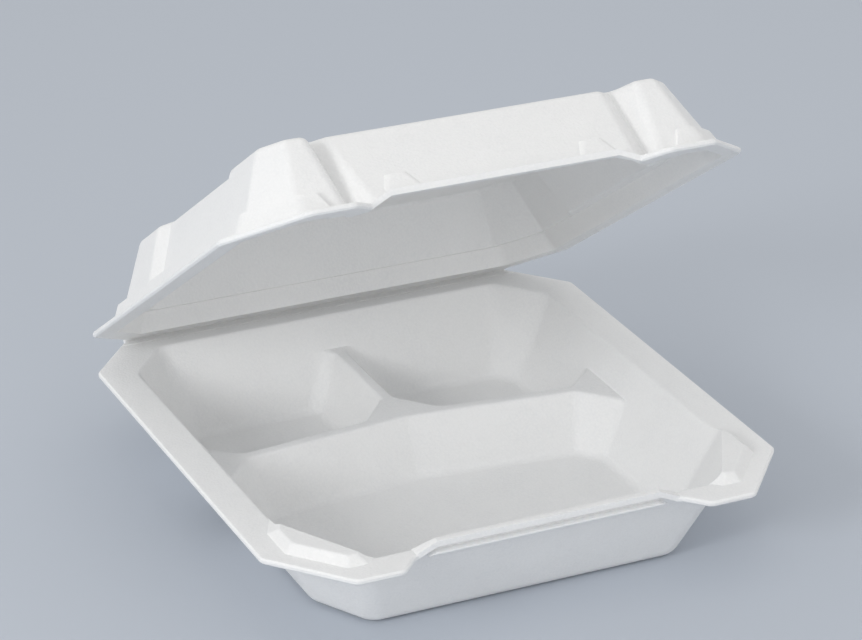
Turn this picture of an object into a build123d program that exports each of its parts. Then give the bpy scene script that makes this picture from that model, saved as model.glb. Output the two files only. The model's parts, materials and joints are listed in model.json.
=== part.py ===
"""Foam food container of one pressed sheet: a three-compartment tray and a lid on a creased hinge.

Lengths are millimetres. X runs along the hinge, Y from the front to the hinge, Z up from the floor.
Forms are drawn with the hinge line at y = 0, so a place that lies s in front of the hinge has y = -s.
"""
from build123d import *
import os
from math import cos, radians, sqrt, tan

# The sheet and the outside of the closed container
sheet = 2.5                     # thickness of the foam
width = 228.0                   # along the hinge
depth = 241.0                   # hinge line to the tips of the front ears
tray_height = 40.0              # floor to the top of the tray's flange
lid_height = 35.7               # lid's flange face to the top of its crown
parting_gap = 0.3               # free play between the two flanges
lid_open_angle = 34.0           # how far the lid stands open

# The flange that both halves share
hinge_cut_across = 21.5         # corners cut off beside the hinge
hinge_cut_along = 25.0
ear_cut_across = 27.0           # corners cut off the front ears
ear_cut_along = 32.0
ear_front = 20.0                # straight front edge of an ear
ear_shoulder = 9.0              # slanted run from an ear to the middle of the front edge
front_set_back = 9.5            # how far the middle of the front edge lies behind the ears
front_rise = 4.0                # how far the middle of the front edge is raised
front_ramp = 9.0                # slanted run up to the raised middle
crease_from_hinge = 4.5         # pressed crease beside the hinge line
crease_width = 1.6
crease_depth = 0.8
flange_bevel = 0.7              # trimmed outer edge of the flange
flange_corner_round = 5.0

# The tray's hollow, measured at the top of its flange
tray_draft = 26.0               # slope of the walls away from upright, degrees
tray_side_flange = 15.5
tray_back_flange = 12.0
tray_front_flange = 14.5
tray_front_cut_across = 21.0    # slanted front corners of the hollow
tray_front_cut_along = 38.0
tray_back_cut_across = 18.0
tray_back_cut_along = 21.0
tray_corner_round = 9.0
tray_foot_round = 5.0
tray_mouth_round = 1.8

# The raised pads on the tray's front corners
pad_play = 0.8                  # pad's foot to the lid's mouth round it
pad_side_length = 18.0          # runs of a pad along the side and along the front
pad_front_length = 8.5
pad_inset = 5.0                 # how far a pad runs in over the hollow before it is cut
pad_rise = 3.5
pad_draft = 46.0                # slope of a pad's sides away from upright
pad_end_draft = 55.0            # slope of a pad's two ends away from upright
pad_round = 1.6

# The dividers
divider_height = 26.5           # floor of the tray's outside to the top of the dividers
divider_width = 5.0             # flat top of a divider
divider_side_place = 102.0      # hinge line to the cross divider at the side walls
divider_middle_place = 92.0     # hinge line to the cross divider at the middle
divider_round = 1.8
compartment_cut = 8.2           # slanted corners of the compartments beside the dividers, at the floor
compartment_round = 7.5

# The lid's hollow, measured at the face of its flange
lid_draft = 25.0
lid_side_flange = 9.2
lid_back_flange = 11.0
lid_front_flange = 10.0
lid_front_cut_across = 18.0
lid_front_cut_along = 21.3
lid_back_cut_across = 17.0
lid_back_cut_along = 20.0
lid_skirt = 8.5                 # flange's face to the ledge
lid_skirt_run = 11.0            # straight front run of the skirt, from a slanted corner to its end
lid_ledge = 2.4                 # width of the ledge
lid_skirt_round = 5.0

# The lid's corner posts, recessed panels and front grooves, measured just above the ledge
post_cut_across = 13.5          # slanted outer corner of a front post
post_cut_along = 16.0
post_face = 15.6                # front face of a front post
back_post_side = 34.6           # straight sides of the posts along the lid
front_post_side = 40.0
panel_run = 6.0                 # sloped ends of a side panel
panel_recess = 4.5
front_draft = 38.0              # slope of the front panel, which leans back more than the posts
groove_draft = 14.5             # slope of a groove's side towards its post
groove_post_run = 3.2           # run of a groove's side towards its post
groove_panel_run = 9.8          # run of a groove's side towards the front panel
groove_depth = 10.8
front_recess = 1.0              # how far the front panel lies behind the posts
lid_post_round = 2.6
lid_valley_round = 0.8
lid_crown_round = 3.9           # outer edge of the crown
lid_crown_bevel = 1.2           # inner edge of the crown

# The two pockets pressed out of the lid's front edge
pocket_place = 42.0             # middle of the front edge to a pocket
pocket_width = 16.0
pocket_bulge = 1.0              # how far a pocket's hollow stands out of the lid's hollow
pocket_height = 7.0
pocket_draft = 32.0
pocket_round = 1.2


def spread(outline, amounts):
    """Moves each side of a closed outline, listed anticlockwise, outwards by its own amount."""
    corners = [Vector(*point) for point in outline]
    moved = []
    for index, corner in enumerate(corners):
        arriving = (corner - corners[index - 1]).normalized()
        leaving = (corners[(index + 1) % len(corners)] - corner).normalized()
        first = Vector(arriving.Y, -arriving.X)
        second = Vector(leaving.Y, -leaving.X)
        bend = first.dot(second)
        along_first = amounts[index - 1] - amounts[index] * bend
        along_second = amounts[index] - amounts[index - 1] * bend
        shifted = corner + (first * along_first + second * along_second) / (1 - bend * bend)
        moved.append((shifted.X, shifted.Y))
    return moved


def both_sides(right_half):
    """Closes the right half of an outline, listed from back to front, with its mirror image."""
    left_half = [(-x, y) for x, y in reversed(right_half) if x > 0]
    return list(reversed([*right_half, *left_half]))


def flat(outline, height):
    """A flat face with this outline at a height."""
    return Face(Wire.make_polygon([(x, y, height) for x, y in outline], close=True))


def drafted(outline, level, low, high, drafts, grow=0.0):
    """A straight-sided form from low to high whose walls spread upwards, and pass through outline at level.

    Each side has its own draft. The walls, not the two ends, lie outside the drawn form by grow, measured
    square to them.
    """
    def at(height):
        amounts = [(height - level) * tan(radians(draft)) + grow / cos(radians(draft)) for draft in drafts]
        return [(x, y, height) for x, y in spread(outline, amounts)]
    foot, top = at(low), at(high)
    walls = [[foot[index - 1], foot[index], top[index], top[index - 1]] for index in range(len(outline))]
    return Solid(Shell([Face(Wire.make_polygon(side, close=True)) for side in [foot, top, *walls]]))


def upright_edges(form, inner=None):
    """The edges that climb the walls of a form: all of them, or only those of inner or of outer corners."""
    edges = [edge for edge in form.edges() if abs(edge.tangent_at(0.5).Z) > 0.5]
    return [edge for edge in edges if inner is None or edge.is_interior == inner]


def edges_at(form, height):
    """The edges of a form that lie wholly at one height."""
    near = 1e-4
    found = []
    for edge in form.edges():
        box = edge.bounding_box()
        if abs(box.min.Z - height) < near and abs(box.max.Z - height) < near:
            found.append(edge)
    return found


def edges_within(form, height, outline):
    """The edges at one height whose middles lie within an outline."""
    area = flat(outline, height)
    return [edge for edge in edges_at(form, height) if area.is_inside(edge.position_at(0.5))]


def tray_mouth():
    """Outline of the tray's hollow at the top of the flange."""
    half = width / 2 - tray_side_flange
    back = -tray_back_flange
    front = tray_front_flange - depth
    return both_sides([
        (half - tray_back_cut_across, back),
        (half, back - tray_back_cut_along),
        (half, front + tray_front_cut_along),
        (half - tray_front_cut_across, front),
    ])


def compartments():
    """Outlines of the front and the two back compartments at the top of the dividers."""
    down = (tray_height - divider_height) * tan(radians(tray_draft))
    half = width / 2 - tray_side_flange - down
    back = -tray_back_flange - down
    front = tray_front_flange - depth + down
    half_top = divider_width / 2
    side_place = -divider_side_place
    middle_place = -divider_middle_place
    lean = (middle_place - side_place) / half
    cut = compartment_cut + (2 - sqrt(2)) * (divider_height - sheet) * tan(radians(tray_draft))
    front_room = both_sides([
        (0.0, middle_place - half_top),
        (half - cut, side_place - half_top + lean * cut),
        (half, side_place - half_top - cut),
        (half, front),
    ])
    right_room = list(reversed([
        (half_top, back),
        (half, back),
        (half, side_place + half_top + cut),
        (half - cut, side_place + half_top + lean * cut),
        (half_top + cut, middle_place + half_top - lean * cut),
        (half_top, middle_place + half_top + cut),
    ]))
    left_room = [(-x, y) for x, y in reversed(right_room)]
    return front_room, right_room, left_room


def tray_form(grow, top):
    """The tray's hollow, or with grow its outside, from its floor up to a height."""
    floor = sheet - grow
    crest = divider_height - grow
    mouth = tray_mouth()
    whole = drafted(mouth, tray_height, floor, top, [tray_draft] * len(mouth), grow)
    whole = fillet(upright_edges(whole), tray_corner_round + grow)
    slab = Box(2 * width, 2 * depth, 2 * tray_height, align=(Align.CENTER, Align.CENTER, Align.MAX))
    ridges = Pos(0, -depth / 2, crest) * slab
    for room in compartments():
        form = drafted(room, divider_height, floor - sheet, crest + sheet, [tray_draft] * len(room), grow)
        ridges -= fillet(upright_edges(form), compartment_round + grow)
    if not grow:
        crests = [edge for edge in edges_at(ridges, crest) if abs(edge.center().X) < width / 2]
        ridges = fillet([edge for edge in crests if edge.length < width], divider_round)
    form = whole - ridges
    return fillet(edges_at(form, floor), tray_foot_round + grow)


def front_rim(lift, low_drop, high_drop, back_reach):
    """The middle of the front flange, which climbs a ramp at each end, between two drops below its top.

    lift is the height of the flange's top, and back_reach how far the strip runs in from the front edge.
    """
    foot_half = width / 2 - ear_cut_across - ear_front - ear_shoulder
    top_half = foot_half - front_ramp
    upper = [
        (foot_half, lift - high_drop),
        (top_half, lift + front_rise - high_drop),
        (-top_half, lift + front_rise - high_drop),
        (-foot_half, lift - high_drop),
    ]
    lower = [
        (-foot_half, lift - low_drop),
        (-top_half, lift + front_rise - low_drop),
        (top_half, lift + front_rise - low_drop),
        (foot_half, lift - low_drop),
    ]
    front = front_set_back - depth
    section = Face(Wire.make_polygon([(x, front, z) for x, z in [*upper, *lower]], close=True))
    return Solid.extrude(section, Vector(0, back_reach, 0))


def flange_outline():
    """Outline of the flange of either half, from past the hinge to the front ears."""
    half = width / 2
    return both_sides([
        (half - 2 * hinge_cut_across, hinge_cut_along),
        (half, -hinge_cut_along),
        (half, ear_cut_along - depth),
        (half - ear_cut_across, -depth),
        (half - ear_cut_across - ear_front, -depth),
        (half - ear_cut_across - ear_front - ear_shoulder, front_set_back - depth),
    ])


def flange_plate(low):
    """The flat flange of either half, cut at the hinge, with rounded corners and bevelled edges."""
    plate = Solid.extrude(flat(flange_outline(), low), Vector(0, 0, sheet))
    plate = fillet(upright_edges(plate), flange_corner_round)
    plate = chamfer([*edges_at(plate, low), *edges_at(plate, low + sheet)], flange_bevel)
    behind = Box(2 * width, depth, depth, align=(Align.CENTER, Align.MIN, Align.CENTER))
    return plate - Pos(0, -parting_gap / 2, low) * behind


def crease(height, side):
    """The pressed line beside the hinge, cut into the face of a flange that looks up (1) or down (-1)."""
    half = crease_width / 2
    place = -crease_from_hinge
    section = Face(Wire.make_polygon([
        (-width, place - half, height + side * crease_depth),
        (-width, place + half, height + side * crease_depth),
        (-width, place, height - side * crease_depth),
    ], close=True))
    return Solid.extrude(section, Vector(2 * width, 0, 0))


def ear_pads():
    """Raised pads on the tray's front corners. Each fills a corner of the lid's mouth."""
    mouth = lid_mouth()
    inside = spread(mouth, [-pad_play] * len(mouth))
    cut_end, cut_start = sorted(point for point in inside if point[0] > 0 and point[1] < -depth / 2)
    mouth_half = width / 2 - tray_side_flange
    mouth_front = tray_front_flange - depth
    base = [
        (cut_start[0], cut_start[1] + pad_side_length),
        (mouth_half - pad_inset, mouth_front + tray_front_cut_along + pad_side_length),
        (mouth_half - tray_front_cut_across - pad_front_length, mouth_front + pad_inset),
        (cut_end[0] - pad_front_length, cut_end[1]),
        cut_end,
        cut_start,
    ]
    top = tray_height + pad_rise
    drafts = [-pad_end_draft, -pad_draft, -pad_end_draft, -pad_draft, -pad_draft, -pad_draft]
    right = drafted(base, tray_height, tray_height - sheet / 2, top, drafts)
    right = fillet(upright_edges(right), 2 * pad_round)
    right = fillet(edges_at(right, top), pad_round)
    return right + right.mirror(Plane.YZ)


def tray():
    """The lower half: three compartments under one flange, with a raised front edge."""
    rim_top = tray_height + front_rise
    strip = tray_front_flange + sheet
    hollow = tray_form(0.0, rim_top + sheet)
    body = tray_form(sheet, tray_height) + flange_plate(tray_height - sheet) - hollow
    mouth = tray_mouth()
    body = fillet(edges_within(body, tray_height, spread(mouth, [sheet] * len(mouth))), tray_mouth_round)
    wall = tray_form(sheet, rim_top) & front_rim(tray_height, 2 * sheet, 0.0, strip)
    raised = front_rim(tray_height, sheet, 0.0, strip) + wall + ear_pads() - hollow
    body -= front_rim(tray_height, 2 * sheet, -sheet - front_rise, strip)
    return body + raised - crease(tray_height, 1)


def lid_mouth():
    """Outline of the lid's hollow at the face of its flange. It passes round the tray's pads."""
    half = width / 2 - lid_side_flange
    back = -lid_back_flange
    front = lid_front_flange - depth
    return both_sides([
        (half - lid_back_cut_across, back),
        (half, back - lid_back_cut_along),
        (half, front + lid_front_cut_along),
        (half - lid_front_cut_across, front),
    ])


def lid_body():
    """Right half of the lid's hollow just above its ledge, from back to front, and the draft of each side.

    A side starts at its corner. The last one, the front panel, runs across to the left half.
    """
    inward = lid_skirt * tan(radians(lid_draft)) + lid_ledge
    half = width / 2 - lid_side_flange - inward
    back = -lid_back_flange - inward
    front = lid_front_flange - depth + inward
    panel_back = back - lid_back_cut_along - back_post_side
    panel_front = front + post_cut_along + front_post_side
    tip = half - post_cut_across
    groove = tip - post_face
    return [
        ((half - lid_back_cut_across, back), lid_draft),
        ((half, back - lid_back_cut_along), lid_draft),
        ((half, panel_back), lid_draft),
        ((half - panel_recess, panel_back - panel_run), lid_draft),
        ((half - panel_recess, panel_front + panel_run), lid_draft),
        ((half, panel_front), lid_draft),
        ((half, front + post_cut_along), lid_draft),
        ((tip, front), lid_draft),
        ((groove, front), groove_draft),
        ((groove - groove_post_run, front + groove_depth), lid_draft),
        ((groove - groove_post_run - groove_panel_run, front + front_recess), front_draft),
    ]


def lid_form(grow, low):
    """The lid's hollow, or with grow its outside, from a height up to its crown, as it lies on the tray."""
    face = tray_height + parting_gap
    ledge = face + lid_skirt + grow
    crown = face + lid_height - sheet + grow
    mouth = lid_mouth()
    skirt = drafted(mouth, face, low, ledge, [-lid_draft] * len(mouth), grow)
    skirt = fillet(upright_edges(skirt), lid_skirt_round + grow)
    end = width / 2 - lid_side_flange - lid_front_cut_across - lid_skirt_run
    gap = [(end, -depth), (end, -depth / 2), (-end, -depth / 2), (-end, -depth)]
    skirt -= drafted(gap, face, low - sheet, ledge + sheet, [lid_draft] * len(gap), -grow)
    corners, drafts = zip(*lid_body())
    slopes = [-draft for draft in [*drafts, *reversed(drafts[:-1]), lid_draft]]
    body = drafted(both_sides(corners), face + lid_skirt, low, crown, slopes, grow)
    body = fillet(upright_edges(body, inner=True), lid_valley_round + sheet - grow)
    body = fillet(upright_edges(body, inner=False), lid_post_round + grow)
    if grow:
        body = fillet(edges_at(body, crown), lid_crown_round)
    else:
        body = chamfer(edges_at(body, crown), lid_crown_bevel)
    return skirt + body


def latch_pocket(grow, low):
    """One of the two pockets pressed out of the lid's front edge, or with grow its outside."""
    face = tray_height + parting_gap + front_rise
    front = front_set_back - depth + 2 * sheet - pocket_bulge
    half = pocket_width / 2
    deep = 2 * pocket_height
    outline = [(half, front), (half, front + deep), (-half, front + deep), (-half, front)]
    form = drafted(outline, face, low, face + pocket_height + grow, [-pocket_draft] * len(outline), grow)
    return fillet(upright_edges(form), pocket_round + grow)


def latch_pockets(grow, low):
    """Both pockets."""
    form = latch_pocket(grow, low)
    return [Pos(side * pocket_place, 0, 0) * form for side in (-1, 1)]


def lid():
    """The upper half, as it lies on the tray."""
    face = tray_height + parting_gap
    strip = lid_front_flange + sheet
    body = lid_form(sheet, face) + flange_plate(face)
    body -= front_rim(face, front_rise + 3 * sheet, 0.0, 2 * strip)
    body -= Pos(0, -strip, 0) * front_rim(face, front_rise + 3 * sheet, -2 * sheet, strip)
    body += front_rim(face + sheet, sheet, 0.0, strip)
    for pocket in latch_pockets(sheet, face + front_rise):
        body += pocket
    body -= lid_form(0.0, face - sheet)
    for pocket in latch_pockets(0.0, face - sheet):
        body -= pocket
    return body - crease(face, -1)


def opened(form):
    """Turns the lid about the hinge line to where it stands open."""
    hinge = Axis((0, 0, tray_height + parting_gap / 2), (-1, 0, 0))
    return form.rotate(hinge, lid_open_angle)


def placed(form):
    """Moves a form from the hinge line to the middle of the tray's foot."""
    down = tray_height * tan(radians(tray_draft)) - sheet / cos(radians(tray_draft))
    back = tray_back_flange + down
    front = depth - tray_front_flange - down
    return Pos(0, (back + front) / 2, 0) * form


if __name__ == "__main__":
    os.makedirs("parts", exist_ok=True)
    export_step(placed(tray()), "parts/tray.step")
    export_step(placed(opened(lid())), "parts/lid.step")
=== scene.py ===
"""Foam hinged lid container: the pressed foam finish, the fold along the hinge and a plain studio.

Lengths are metres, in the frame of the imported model: X along the hinge, Y towards it, Z up.
"""
import bpy
import json
from math import cos, pi, radians, sin
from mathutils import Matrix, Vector


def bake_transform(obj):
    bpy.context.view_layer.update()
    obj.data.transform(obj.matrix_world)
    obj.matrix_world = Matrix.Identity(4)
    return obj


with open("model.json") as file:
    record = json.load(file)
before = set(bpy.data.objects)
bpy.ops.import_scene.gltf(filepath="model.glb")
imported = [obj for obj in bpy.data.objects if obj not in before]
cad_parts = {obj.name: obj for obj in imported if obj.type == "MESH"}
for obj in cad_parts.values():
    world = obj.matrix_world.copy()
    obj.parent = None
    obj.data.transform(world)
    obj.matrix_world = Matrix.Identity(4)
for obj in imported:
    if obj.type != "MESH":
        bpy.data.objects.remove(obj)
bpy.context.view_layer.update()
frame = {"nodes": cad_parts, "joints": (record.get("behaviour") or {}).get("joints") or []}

bl_info = {
    "name": "Foam Hinged Lid Container",
    "version": (1, 0, 0),
    "blender": (4, 5, 0),
    "location": "3D View > Sidebar > Container",
    "description": "Finishes the two pressed foam halves, adds the fold of the hinge and sets a plain studio",
    "category": "Object",
}

HINGE = frame["joints"][0]
HINGE_LINE = Vector(HINGE["pos_m"])
ALONG_HINGE = (1.0, 0.0, 0.0)
# The container stands part open, and the low end of the hinge's range shuts it.
OPEN_ANGLE = -radians(HINGE["range_deg"][0])
FOAM = "pressed_foam"
EVEN_GLOW = (1.0, 1.0, 1.0)     # red, green and blue light spread alike in white foam
MERGE_DISTANCE = 1e-6
FLOOR_SIDES = 96


class FoamFinish(bpy.types.PropertyGroup):
    """The look of the pressed foam."""
    colour: bpy.props.FloatVectorProperty(
        name="Colour", description="White of the foam", subtype="COLOR", size=4,
        min=0.0, max=1.0, default=(0.86, 0.86, 0.855, 1.0))
    # Painted shade: this greyer white is mixed into the creases between the cells, where shade falls.
    shade: bpy.props.FloatVectorProperty(
        name="Shade", description="Slightly greyer white between the cells", subtype="COLOR", size=4,
        min=0.0, max=1.0, default=(0.79, 0.795, 0.80, 1.0))
    smooth_skin: bpy.props.FloatProperty(
        name="Smooth skin", description="Roughness where the skin was pressed hardest", subtype="FACTOR",
        min=0.0, max=1.0, default=0.55)
    dull_skin: bpy.props.FloatProperty(
        name="Dull skin", description="Roughness where the skin was pressed least", subtype="FACTOR",
        min=0.0, max=1.0, default=0.72)
    sheen: bpy.props.FloatProperty(
        name="Sheen", description="Strength of the skin's reflections", subtype="FACTOR",
        min=0.0, max=1.0, default=0.28)
    glow: bpy.props.FloatProperty(
        name="Glow", description="Share of the light that spreads inside the foam", subtype="FACTOR",
        min=0.0, max=1.0, default=0.2)
    glow_depth: bpy.props.FloatProperty(
        name="Glow depth", description="How far light spreads in the foam", unit="LENGTH", default=0.003)
    cell_size: bpy.props.FloatProperty(
        name="Cell size", description="Width of one foam cell", unit="LENGTH", default=0.0011)
    cell_depth: bpy.props.FloatProperty(
        name="Cell depth", description="Height of the cells on the skin", unit="LENGTH", default=0.0001)
    wave_size: bpy.props.FloatProperty(
        name="Wave size", description="Width of the press's soft waves", unit="LENGTH", default=0.024)
    wave_depth: bpy.props.FloatProperty(
        name="Wave depth", description="Height of the soft waves", unit="LENGTH", default=0.0004)


class HingeFold(bpy.types.PropertyGroup):
    """The folded strip that joins the two halves."""
    radius: bpy.props.FloatProperty(
        name="Radius", description="Hinge line to the outside of the fold", unit="LENGTH", default=0.00262)
    core: bpy.props.FloatProperty(
        name="Core", description="Hinge line to the inside of the fold", unit="LENGTH", default=0.00012)
    length: bpy.props.FloatProperty(
        name="Length", description="Length of the fold along the hinge", unit="LENGTH", default=0.1845)
    steps: bpy.props.IntProperty(
        name="Steps", description="Faces round the fold", default=16)
    crisp_angle: bpy.props.FloatProperty(
        name="Crisp angle", description="Edges that turn more than this stay crisp", subtype="ANGLE",
        default=radians(35.0))


class Studio(bpy.types.PropertyGroup):
    """Floor, lamps and camera."""
    floor_colour: bpy.props.FloatVectorProperty(
        name="Floor colour", description="Plain pale floor", subtype="COLOR", size=4,
        min=0.0, max=1.0, default=(0.52, 0.56, 0.62, 1.0))
    floor_roughness: bpy.props.FloatProperty(
        name="Floor roughness", description="How dull the floor is", subtype="FACTOR",
        min=0.0, max=1.0, default=0.85)
    floor_sheen: bpy.props.FloatProperty(
        name="Floor sheen", description="Strength of the floor's reflections", subtype="FACTOR",
        min=0.0, max=1.0, default=0.2)
    floor_radius: bpy.props.FloatProperty(
        name="Floor radius", description="Reach of the floor", unit="LENGTH", default=8.0)
    key_place: bpy.props.FloatVectorProperty(
        name="Key place", description="Where the lamp at the left stands", subtype="TRANSLATION",
        default=(-1.5, -0.7, 0.8))
    key_size: bpy.props.FloatProperty(
        name="Key size", description="Width of the lamp at the left", unit="LENGTH", default=0.5)
    key_power: bpy.props.FloatProperty(
        name="Key power", description="Power of the lamp at the left", unit="POWER", default=2.4)
    fill_place: bpy.props.FloatVectorProperty(
        name="Fill place", description="Where the lamp at the front stands", subtype="TRANSLATION",
        default=(0.3, -1.7, 0.5))
    fill_size: bpy.props.FloatProperty(
        name="Fill size", description="Width of the lamp at the front", unit="LENGTH", default=1.2)
    fill_power: bpy.props.FloatProperty(
        name="Fill power", description="Power of the lamp at the front", unit="POWER", default=0.8)
    lamp_spread: bpy.props.FloatProperty(
        name="Lamp spread", description="Angle of the cone of light from each lamp", subtype="ANGLE",
        default=radians(90.0))
    sky_colour: bpy.props.FloatVectorProperty(
        name="Sky colour", description="Colour of the even light from all sides", subtype="COLOR", size=4,
        min=0.0, max=1.0, default=(1.0, 1.0, 1.0, 1.0))
    sky: bpy.props.FloatProperty(
        name="Sky", description="Strength of the even light from all sides", default=0.78)
    camera_place: bpy.props.FloatVectorProperty(
        name="Camera place", description="Where the camera stands", subtype="TRANSLATION",
        default=(-0.5524, -1.195, 0.6861))
    camera_aim: bpy.props.FloatVectorProperty(
        name="Camera aim", description="The point in the middle of the picture", subtype="TRANSLATION",
        default=(0.0, 0.0, 0.082))
    camera_lens: bpy.props.FloatProperty(
        name="Lens", description="Focal length in millimetres", default=146.0)


def foam_material(finish):
    """White pressed foam: fine cells, soft press waves and a dull skin that lets a little light in."""
    material = bpy.data.materials.new(FOAM)
    material.use_nodes = True
    tree = material.node_tree
    shader = tree.nodes["Principled BSDF"]
    shader.subsurface_method = "BURLEY"
    shader.inputs["Subsurface Weight"].default_value = finish.glow
    shader.inputs["Subsurface Radius"].default_value = EVEN_GLOW
    shader.inputs["Subsurface Scale"].default_value = finish.glow_depth
    shader.inputs["Specular IOR Level"].default_value = finish.sheen
    place = tree.nodes.new("ShaderNodeTexCoord").outputs["Object"]

    cells = tree.nodes.new("ShaderNodeTexVoronoi")
    cells.inputs["Scale"].default_value = 1.0 / finish.cell_size
    tree.links.new(place, cells.inputs["Vector"])

    waves = tree.nodes.new("ShaderNodeTexNoise")
    waves.inputs["Scale"].default_value = 1.0 / finish.wave_size
    tree.links.new(place, waves.inputs["Vector"])

    cell_bump = tree.nodes.new("ShaderNodeBump")
    cell_bump.invert = True
    cell_bump.inputs["Distance"].default_value = finish.cell_depth
    tree.links.new(cells.outputs["Distance"], cell_bump.inputs["Height"])
    wave_bump = tree.nodes.new("ShaderNodeBump")
    wave_bump.inputs["Distance"].default_value = finish.wave_depth
    tree.links.new(waves.outputs["Fac"], wave_bump.inputs["Height"])
    tree.links.new(cell_bump.outputs["Normal"], wave_bump.inputs["Normal"])
    tree.links.new(wave_bump.outputs["Normal"], shader.inputs["Normal"])

    # Painted shade in the creases between the cells: the greyer white grows with the distance from each
    # cell's middle, and the soft waves make it stronger or weaker at random.
    painted_crease_shade = tree.nodes.new("ShaderNodeMath")
    painted_crease_shade.operation = "MULTIPLY"
    tree.links.new(cells.outputs["Distance"], painted_crease_shade.inputs[0])
    tree.links.new(waves.outputs["Fac"], painted_crease_shade.inputs[1])
    crease_shaded_white = tree.nodes.new("ShaderNodeMix")
    crease_shaded_white.data_type = "RGBA"
    crease_shaded_white.inputs["A"].default_value = finish.colour
    crease_shaded_white.inputs["B"].default_value = finish.shade
    tree.links.new(painted_crease_shade.outputs["Value"], crease_shaded_white.inputs["Factor"])
    tree.links.new(crease_shaded_white.outputs["Result"], shader.inputs["Base Color"])

    skin = tree.nodes.new("ShaderNodeMapRange")
    skin.inputs["To Min"].default_value = finish.smooth_skin
    skin.inputs["To Max"].default_value = finish.dull_skin
    tree.links.new(waves.outputs["Fac"], skin.inputs["Value"])
    tree.links.new(skin.outputs["Result"], shader.inputs["Roughness"])
    return material


def shared_foam(context):
    """The one foam material, made when it is first asked for."""
    return bpy.data.materials.get(FOAM) or foam_material(context.scene.foam_finish)


class FinishHalves(bpy.types.Operator):
    """Give the tray and the lid their pressed foam finish"""
    bl_idname = "container.finish_halves"
    bl_label = "Finish Tray and Lid"

    def execute(self, context):
        foam = shared_foam(context)
        for name in ("tray", "lid"):
            node = frame["nodes"][name]
            if not node.material_slots:
                raise RuntimeError(f"{name} has no material slot")
            for material_slot in node.material_slots:
                material_slot.material = foam
        return {"FINISHED"}


class MakeHingeFold(bpy.types.Operator):
    """Model the folded strip of foam along the hinge"""
    bl_idname = "container.make_hinge_fold"
    bl_label = "Make Hinge Fold"

    def execute(self, context):
        fold = context.scene.hinge_fold
        to_tray = Vector((0.0, 0.0, -1.0))
        middle = HINGE_LINE + to_tray * (fold.radius + fold.core) / 2
        bpy.ops.object.select_all(action="DESELECT")
        bpy.ops.mesh.primitive_plane_add(size=1.0, location=middle, rotation=(pi / 2, 0.0, 0.0))
        strip = context.object
        strip.name = "hinge_fold"
        strip.scale = (fold.length, fold.radius - fold.core, 1.0)
        bpy.ops.object.transform_apply(location=True, rotation=True, scale=True)
        bpy.ops.object.mode_set(mode="EDIT")
        bpy.ops.mesh.select_all(action="SELECT")
        spun = bpy.ops.mesh.spin(
            steps=fold.steps, dupli=False, angle=OPEN_ANGLE - pi, center=HINGE_LINE, axis=ALONG_HINGE)
        if "FINISHED" not in spun:
            raise RuntimeError("the fold was not spun")
        bpy.ops.mesh.select_all(action="SELECT")
        bpy.ops.mesh.remove_doubles(threshold=MERGE_DISTANCE)
        bpy.ops.mesh.normals_make_consistent(inside=False)
        bpy.ops.object.mode_set(mode="OBJECT")
        bpy.ops.object.shade_smooth_by_angle(angle=fold.crisp_angle)
        strip.data.materials.append(shared_foam(context))
        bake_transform(strip)
        return {"FINISHED"}


def look(place, aim):
    """The turn that points a lamp or the camera from its place at a point."""
    return (Vector(aim) - Vector(place)).to_track_quat("-Z", "Y").to_euler()


def soft_lamp(name, place, size, power, studio):
    """Adds a square area lamp that looks at the middle of the picture."""
    bpy.ops.object.light_add(type="AREA", location=place, rotation=look(place, studio.camera_aim))
    lamp = bpy.context.object
    lamp.name = name
    lamp.data.size = size
    lamp.data.energy = power
    lamp.data.spread = studio.lamp_spread


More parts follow.
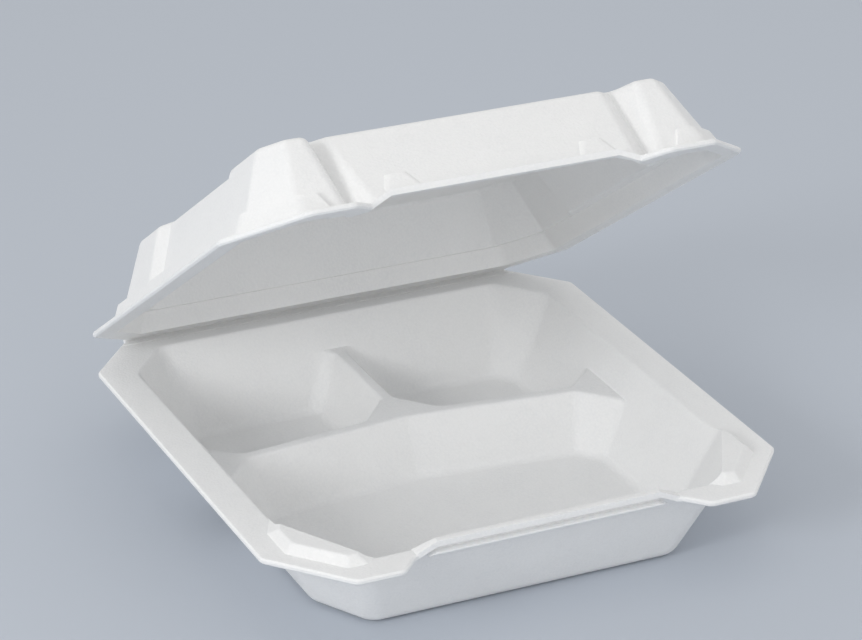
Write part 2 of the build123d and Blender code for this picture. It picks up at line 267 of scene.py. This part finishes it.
class SetStage(bpy.types.Operator):
    """Set the floor, the soft lamps and the camera"""
    bl_idname = "container.set_stage"
    bl_label = "Set Stage"

    def execute(self, context):
        studio = context.scene.studio
        bpy.ops.object.select_all(action="DESELECT")
        bpy.ops.mesh.primitive_circle_add(vertices=FLOOR_SIDES, radius=studio.floor_radius, fill_type="NGON")
        floor = context.object
        floor.name = "floor"
        paper = bpy.data.materials.new("floor_paper")
        paper.use_nodes = True
        shader = paper.node_tree.nodes["Principled BSDF"]
        shader.inputs["Base Color"].default_value = studio.floor_colour
        shader.inputs["Roughness"].default_value = studio.floor_roughness
        shader.inputs["Specular IOR Level"].default_value = studio.floor_sheen
        floor.data.materials.append(paper)

        soft_lamp("key", studio.key_place, studio.key_size, studio.key_power, studio)
        soft_lamp("fill", studio.fill_place, studio.fill_size, studio.fill_power, studio)

        world = context.scene.world or bpy.data.worlds.new("studio")
        context.scene.world = world
        world.use_nodes = True
        sky = world.node_tree.nodes["Background"]
        sky.inputs["Color"].default_value = studio.sky_colour
        sky.inputs["Strength"].default_value = studio.sky

        bpy.ops.object.camera_add(
            location=studio.camera_place, rotation=look(studio.camera_place, studio.camera_aim))
        camera = context.object
        camera.data.lens = studio.camera_lens
        context.scene.camera = camera
        context.scene.view_settings.view_transform = "Standard"
        return {"FINISHED"}


class ContainerPanel(bpy.types.Panel):
    """Settings and steps of the foam container"""
    bl_idname = "VIEW3D_PT_container"
    bl_label = "Foam Container"
    bl_space_type = "VIEW_3D"
    bl_region_type = "UI"
    bl_category = "Container"

    def draw(self, context):
        scene = context.scene
        steps = (
            (FinishHalves, scene.foam_finish),
            (MakeHingeFold, scene.hinge_fold),
            (SetStage, scene.studio),
        )
        for operator, settings in steps:
            box = self.layout.box()
            for name in type(settings).__annotations__:
                box.prop(settings, name)
            box.operator(operator.bl_idname)


CLASSES = (FoamFinish, HingeFold, Studio, FinishHalves, MakeHingeFold, SetStage, ContainerPanel)


def register():
    """Adds the classes and the settings of the scene."""
    for cls in CLASSES:
        bpy.utils.register_class(cls)
    bpy.types.Scene.foam_finish = bpy.props.PointerProperty(type=FoamFinish)
    bpy.types.Scene.hinge_fold = bpy.props.PointerProperty(type=HingeFold)
    bpy.types.Scene.studio = bpy.props.PointerProperty(type=Studio)


def unregister():
    """Removes the settings and the classes."""
    del bpy.types.Scene.studio
    del bpy.types.Scene.hinge_fold
    del bpy.types.Scene.foam_finish
    for cls in reversed(CLASSES):
        bpy.utils.unregister_class(cls)


def main():
    register()
    bpy.ops.container.finish_halves()
    bpy.ops.container.make_hinge_fold()
    bpy.ops.container.set_stage()


if __name__ == "__main__":
    main()
